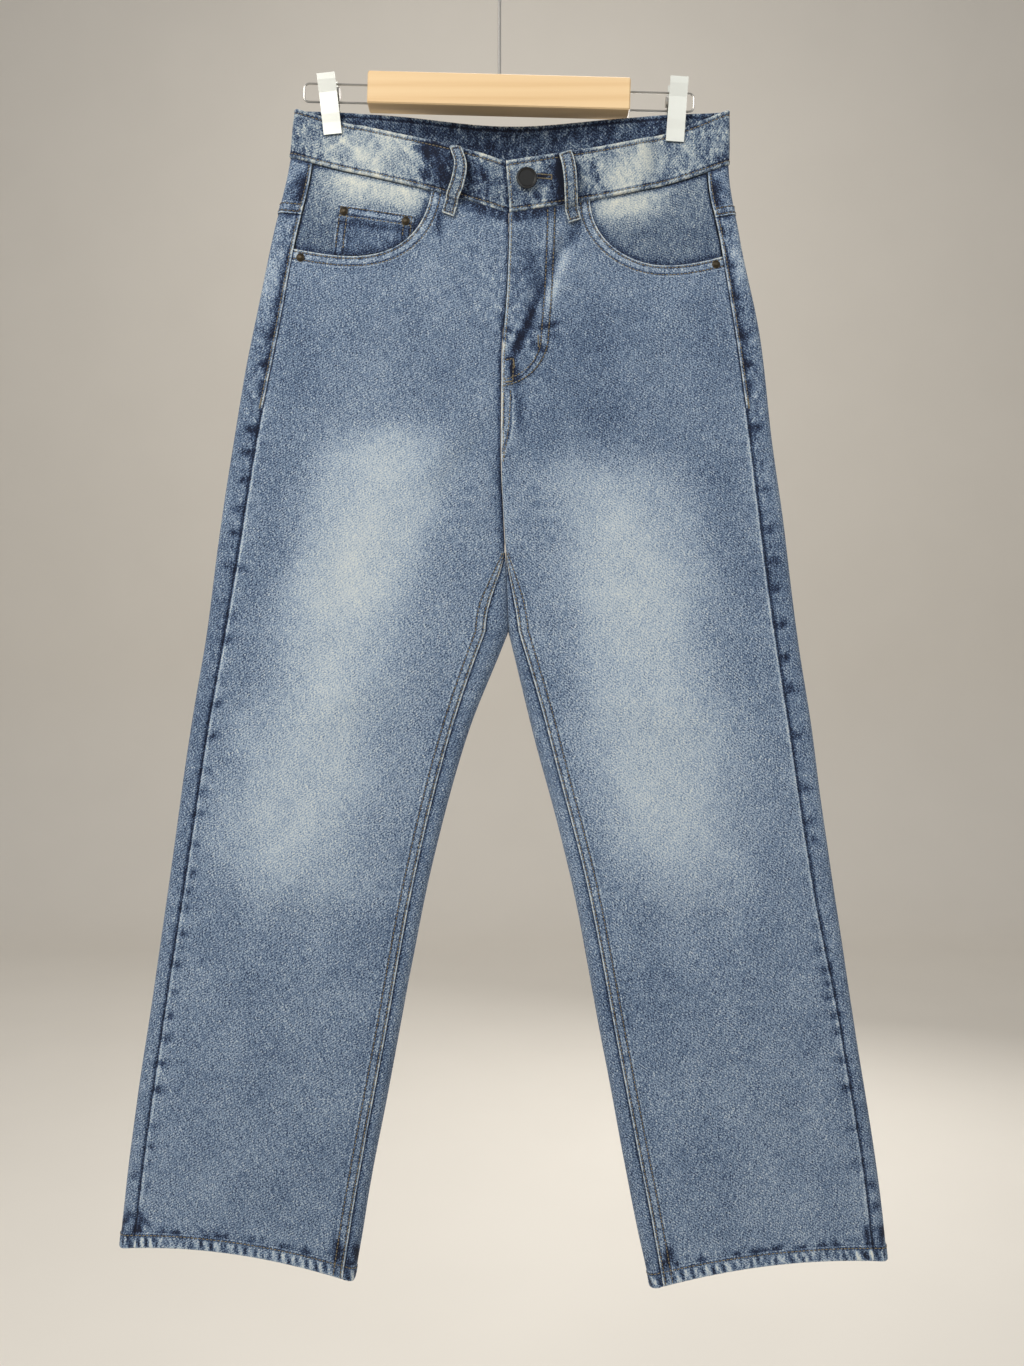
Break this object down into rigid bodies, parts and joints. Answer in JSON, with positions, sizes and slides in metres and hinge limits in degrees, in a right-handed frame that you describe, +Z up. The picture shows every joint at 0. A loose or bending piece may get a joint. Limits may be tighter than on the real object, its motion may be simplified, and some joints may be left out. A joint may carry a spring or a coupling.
{
  "type": "straight leg jeans clipped by the waistband to a wooden trouser hanger",
  "caption": "Straight leg denim jeans, five-pocket cut with a buttoned waistband, hung flat by two steel clips from a pine bar hanger with a wire hook.",
  "frame": {"origin": "the inside top of the hanger's hook, where it rests on a rail", "axes": "+X towards the wearer's left, +Y towards the back of the garment, +Z up"},
  "size_m": [0.6567, 0.0654, 1.1507],
  "materials": {
    "denim": "washed indigo twill, matt",
    "denim_pale": "the same twill, more worn and paler",
    "pine": "pale pine, thin satin varnish",
    "steel": "bright plated steel",
    "antique_brass": "darkened brass, satin",
    "button": "blackened metal, satin"
  },
  "bodies": {
    "root": {"front_left": "denim", "front_right": "denim", "back_left": "denim", "back_right": "denim", "yoke_left": "denim", "yoke_right": "denim", "back_pocket_left": "denim", "back_pocket_right": "denim", "coin_pocket": "denim", "fly_shield": "denim", "waistband": "denim", "belt_loop_front_right": "denim", "belt_loop_front_left": "denim", "belt_loop_side_right": "denim", "belt_loop_side_left": "denim", "belt_loop_back": "denim", "pocket_facing_left": "denim_pale", "pocket_facing_right": "denim_pale", "button": "button", "rivet_mouth_right": "antique_brass", "rivet_mouth_left": "antique_brass", "rivet_coin_outer": "antique_brass", "rivet_coin_inner": "antique_brass", "hanger_bar": "pine", "hanger_hook": "steel", "hanger_wire_right": "steel", "hanger_wire_left": "steel", "clip_right_front": "steel", "clip_right_back": "steel", "clip_right_spring": "steel", "clip_left_front": "steel", "clip_left_back": "steel", "clip_left_spring": "steel"}
  },
  "joints": []
}
